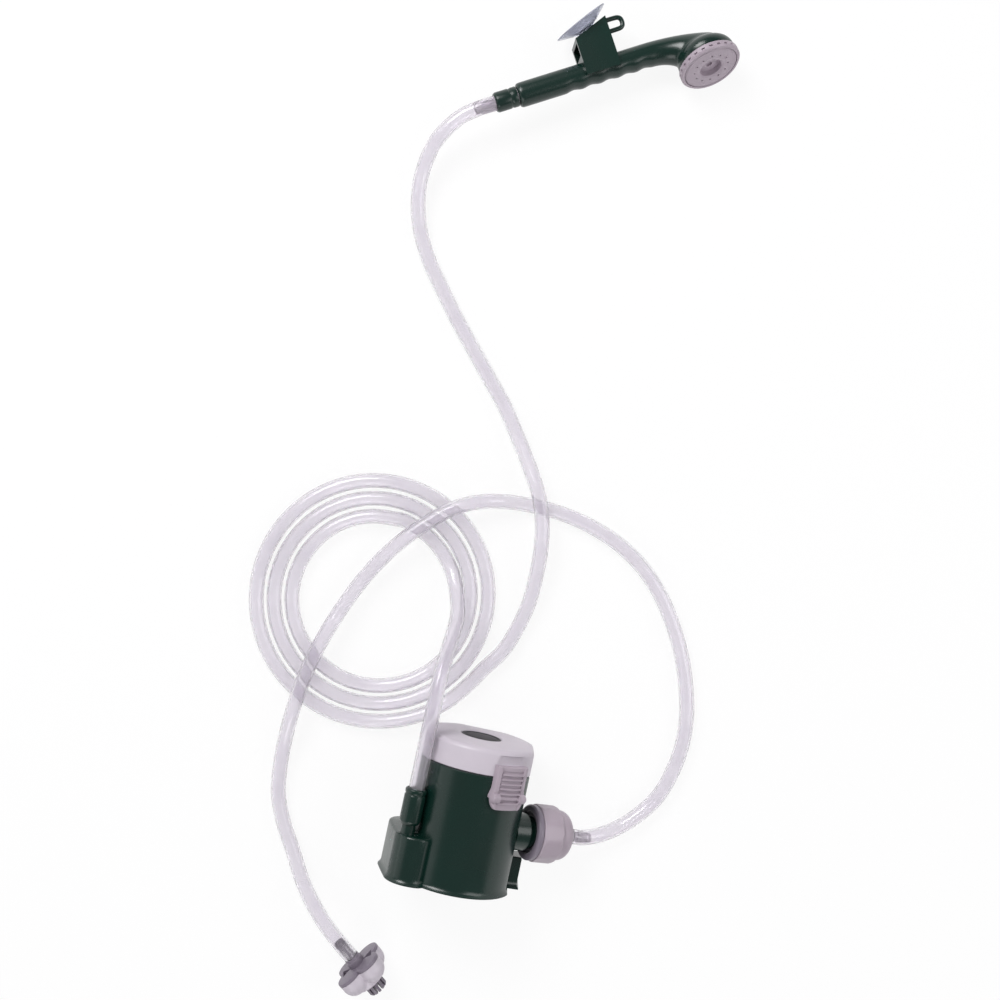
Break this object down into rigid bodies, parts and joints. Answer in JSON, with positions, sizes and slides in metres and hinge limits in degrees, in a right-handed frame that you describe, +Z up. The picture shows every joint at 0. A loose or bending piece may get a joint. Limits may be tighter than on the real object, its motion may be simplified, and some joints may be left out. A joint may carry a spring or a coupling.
{
  "type": "camp shower pump",
  "caption": "Battery camp shower pump with clear hoses, suction strainer and a hand shower with holder and suction cup, laid out on a table.",
  "frame": {"origin": "on the flat back that the pump lies on, on the barrel's centre line, 61 mm from the foot", "axes": "+Y along the pump from its foot to its lid, +Z up from the table through the clip side, +X towards the inlet"},
  "size_m": [0.4013, 0.8674, 0.0967],
  "materials": {
    "green_plastic": "moulded, satin gloss",
    "pale_plastic": "moulded, satin",
    "grey_plastic": "moulded, satin",
    "clear_vinyl": "clear soft vinyl",
    "black_rubber": "matt",
    "steel": "plain",
    "cell_jacket": "plain jacket"
  },
  "bodies": {
    "pump": {"pump_body": "green_plastic", "base_plate": "green_plastic", "bulkhead": "green_plastic", "motor_clamp": "green_plastic", "outlet_spigot": "green_plastic", "inlet_neck": "green_plastic", "handset_nut": "green_plastic", "handle": "green_plastic", "holder": "green_plastic", "hang_loop": "green_plastic", "spray_plate": "pale_plastic", "strainer_body": "pale_plastic", "inlet_collar": "grey_plastic", "inlet_barb": "grey_plastic", "strainer_barb": "grey_plastic", "strainer_grid": "grey_plastic", "handset_barb": "grey_plastic", "volute": "grey_plastic", "suction_pipe": "grey_plastic", "supply_hose": "clear_vinyl", "hose_coil": "clear_vinyl", "riser_hose": "clear_vinyl", "suction_hose": "clear_vinyl", "suction_cup": "clear_vinyl", "inlet_washer": "black_rubber", "shaft_seal": "black_rubber", "head_seal": "black_rubber", "base_screws": "steel", "motor_can": "steel", "lower_contacts": "steel", "contact_springs": "steel", "clip_pin": "steel", "cup_stud": "steel", "battery_cells": "cell_jacket"},
    "lid_assembly": {"lid": "pale_plastic", "lid_gasket": "black_rubber", "upper_contacts": "steel", "switch_body": "black_rubber"},
    "button": {"switch_boot": "black_rubber"},
    "clip_rocker": {"clip": "pale_plastic"},
    "rotor": {"motor_shaft": "steel", "impeller": "pale_plastic"},
    "inlet_coupling": {"inlet_nut": "pale_plastic"},
    "outlet_coupling": {"outlet_nut": "green_plastic"},
    "spray_dial": {"spray_ring": "pale_plastic"}
  },
  "joints": [
    {"name": "lid_lift", "type": "slide", "parent": "pump", "child": "lid_assembly", "axis": [0, 1, 0], "range_m": [0, 0.008]},
    {"name": "switch_press", "type": "slide", "parent": "lid_assembly", "child": "button", "axis": [0, -1, 0], "range_m": [0, 0.0025], "stiffness_N_per_m": 800},
    {"name": "clip_rock", "type": "hinge", "parent": "pump", "child": "clip_rocker", "pos_m": [0.03021, 0.023, 0.08558], "axis": [0.809, 0, -0.5878], "range_deg": [0, 12], "stiffness_Nm_per_rad": 0.4},
    {"name": "rotor_spin", "type": "hinge", "parent": "pump", "child": "rotor", "pos_m": [0, 0, 0.044], "axis": [0, 1, 0], "continuous": true},
    {"name": "inlet_nut_turn", "type": "hinge", "parent": "pump", "child": "inlet_coupling", "pos_m": [0.054, -0.011, 0.04], "axis": [0.9135, 0, -0.4067], "continuous": true},
    {"name": "outlet_nut_turn", "type": "hinge", "parent": "pump", "child": "outlet_coupling", "pos_m": [-0.0435, 0, 0.081], "axis": [0, 1, 0], "continuous": true},
    {"name": "spray_ring_turn", "type": "hinge", "parent": "pump", "child": "spray_dial", "pos_m": [0.05753, 0.67742, 0.01851], "axis": [0.494, -0.7996, 0.3413], "range_deg": [-45, 45]}
  ]
}
